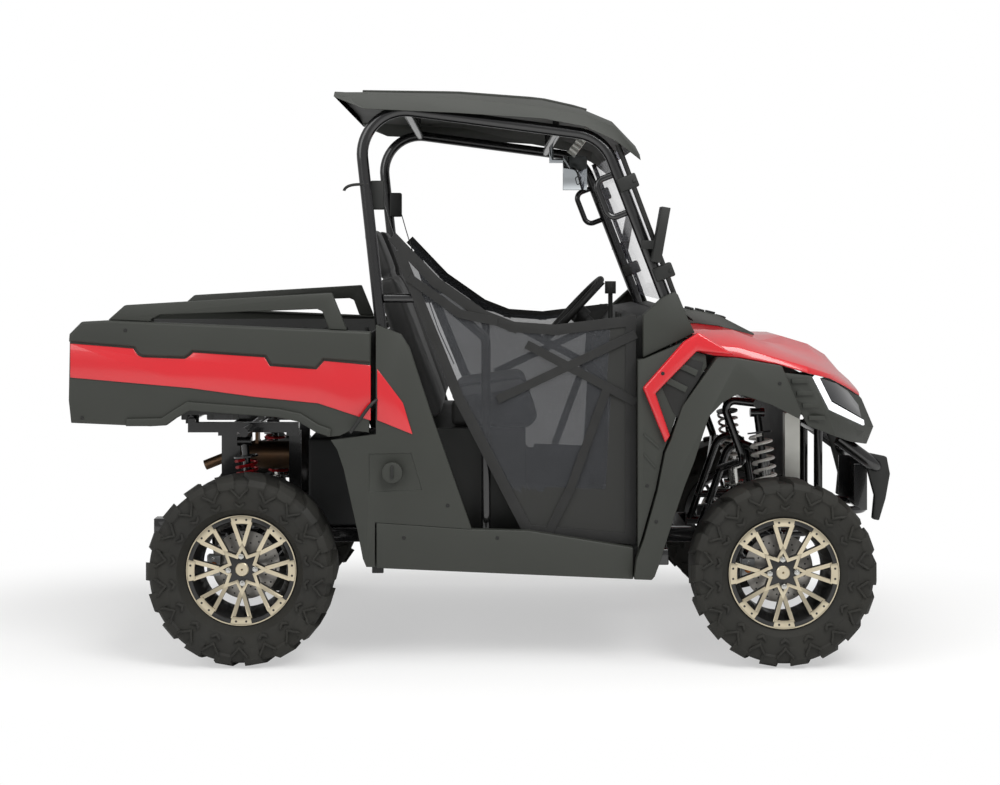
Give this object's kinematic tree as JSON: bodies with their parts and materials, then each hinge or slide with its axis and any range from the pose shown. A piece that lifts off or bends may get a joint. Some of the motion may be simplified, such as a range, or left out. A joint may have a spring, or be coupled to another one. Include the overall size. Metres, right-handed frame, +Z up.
{
  "type": "side by side utility vehicle",
  "caption": "Two-seat off-road utility vehicle with tube roll cage, roof, side nets, tilting cargo bed and steered front wheels.",
  "frame": {"origin": "on the ground under the middle of the vehicle's box", "axes": "+X forward, +Y to the vehicle's left, +Z up"},
  "size_m": [2.892, 1.5, 1.9833],
  "materials": {
    "tyre_rubber": "matt moulded rubber",
    "alloy": "machined faces with black pockets",
    "frame_black": "gloss black powder coat",
    "paint_red": "gloss red",
    "body_plastic": "textured dark olive grey",
    "black_plastic": "textured black",
    "seat_cover": "black vinyl-coated cloth",
    "webbing": "woven black nylon",
    "clear_screen": "clear polycarbonate",
    "spring_paint": "light grey coil",
    "cast_metal": "cast housing",
    "exhaust_steel": "heat-tinted steel",
    "radiator_core": "bare aluminium fins",
    "lens": "clear lens",
    "lamp_white": "white light guide",
    "red_lens": "red lens"
  },
  "bodies": {
    "root": {"cage_cross": "frame_black", "cage_left": "frame_black", "cage_right": "frame_black", "cowl_sides": "body_plastic", "cowl_top": "body_plastic", "dash": "black_plastic", "drive_axles": "cast_metal", "engine": "cast_metal", "exhaust": "exhaust_steel", "fascia": "body_plastic", "fender_trims": "paint_red", "floor_pan": "black_plastic", "front_arms": "frame_black", "front_bumper": "frame_black", "front_fenders": "body_plastic", "front_frame": "frame_black", "grab_handles": "frame_black", "headlamps": "lens", "hip_bars": "frame_black", "hood": "paint_red", "hood_lid": "body_plastic", "lamp_strips": "lamp_white", "main_frame": "frame_black", "mirrors": "black_plastic", "pillar_panels": "body_plastic", "radiator": "radiator_core", "rear_arms": "frame_black", "rear_frame": "frame_black", "receiver": "frame_black", "roof": "body_plastic", "seat_backs": "seat_cover", "seat_base": "black_plastic", "seat_cushions": "seat_cover", "shocks": "frame_black", "side_nets": "webbing", "side_panels": "body_plastic", "side_stripes": "paint_red", "sills": "body_plastic", "springs": "spring_paint", "windscreen": "clear_screen"},
    "steer_right": {"knuckle_right": "cast_metal"},
    "steer_left": {"knuckle_left": "cast_metal"},
    "rack": {"rack_rods": "frame_black"},
    "helm": {"steering_wheel": "black_plastic"},
    "wheel_front_right": {"tyre_front_right": "tyre_rubber", "rim_front_right": "alloy"},
    "wheel_front_left": {"tyre_front_left": "tyre_rubber", "rim_front_left": "alloy"},
    "wheel_rear_right": {"tyre_rear_right": "tyre_rubber", "rim_rear_right": "alloy"},
    "wheel_rear_left": {"tyre_rear_left": "tyre_rubber", "rim_rear_left": "alloy"},
    "bed": {"bed_rails": "body_plastic", "bed_skins": "body_plastic", "bed_stripes": "paint_red", "bed_tub": "body_plastic", "tail_lamps": "red_lens"},
    "gate": {"tailgate": "body_plastic"}
  },
  "joints": [
    {"name": "steer_right", "type": "hinge", "parent": "root", "child": "steer_right", "pos_m": [0.996, -0.575, 0.322], "axis": [0, 0, 1], "range_deg": [-30, 30]},
    {"name": "steer_left", "type": "hinge", "parent": "root", "child": "steer_left", "pos_m": [0.996, 0.575, 0.322], "axis": [0, 0, 1], "range_deg": [-30, 30]},
    {"name": "rack", "type": "slide", "parent": "root", "child": "rack", "axis": [0, 1, 0], "range_m": [-0.036, 0.036]},
    {"name": "helm", "type": "hinge", "parent": "root", "child": "helm", "pos_m": [0.332, 0.31, 1.19], "axis": [-0.7314, 0, 0.682], "range_deg": [-180, 180]},
    {"name": "roll_front_right", "type": "hinge", "parent": "steer_right", "child": "wheel_front_right", "pos_m": [0.996, -0.635, 0.322], "axis": [0, 1, 0], "continuous": true},
    {"name": "roll_front_left", "type": "hinge", "parent": "steer_left", "child": "wheel_front_left", "pos_m": [0.996, 0.635, 0.322], "axis": [0, 1, 0], "continuous": true},
    {"name": "roll_rear_right", "type": "hinge", "parent": "root", "child": "wheel_rear_right", "pos_m": [-0.856, -0.61, 0.328], "axis": [0, 1, 0], "continuous": true},
    {"name": "roll_rear_left", "type": "hinge", "parent": "root", "child": "wheel_rear_left", "pos_m": [-0.856, 0.61, 0.328], "axis": [0, 1, 0], "continuous": true},
    {"name": "bed_tilt", "type": "hinge", "parent": "root", "child": "bed", "pos_m": [-1.11, 0, 0.8], "axis": [0, -1, 0], "range_deg": [0, 45]},
    {"name": "gate_drop", "type": "hinge", "parent": "bed", "child": "gate", "pos_m": [-1.435, 0, 0.848], "axis": [0, -1, 0], "range_deg": [0, 90]}
  ],
  "couplings": [
    {"joint": "steer_left", "follows": "steer_right", "ratio": 1},
    {"joint": "rack", "follows": "steer_right", "m_per_rad": -0.067},
    {"joint": "helm", "follows": "steer_right", "ratio": 6}
  ]
}
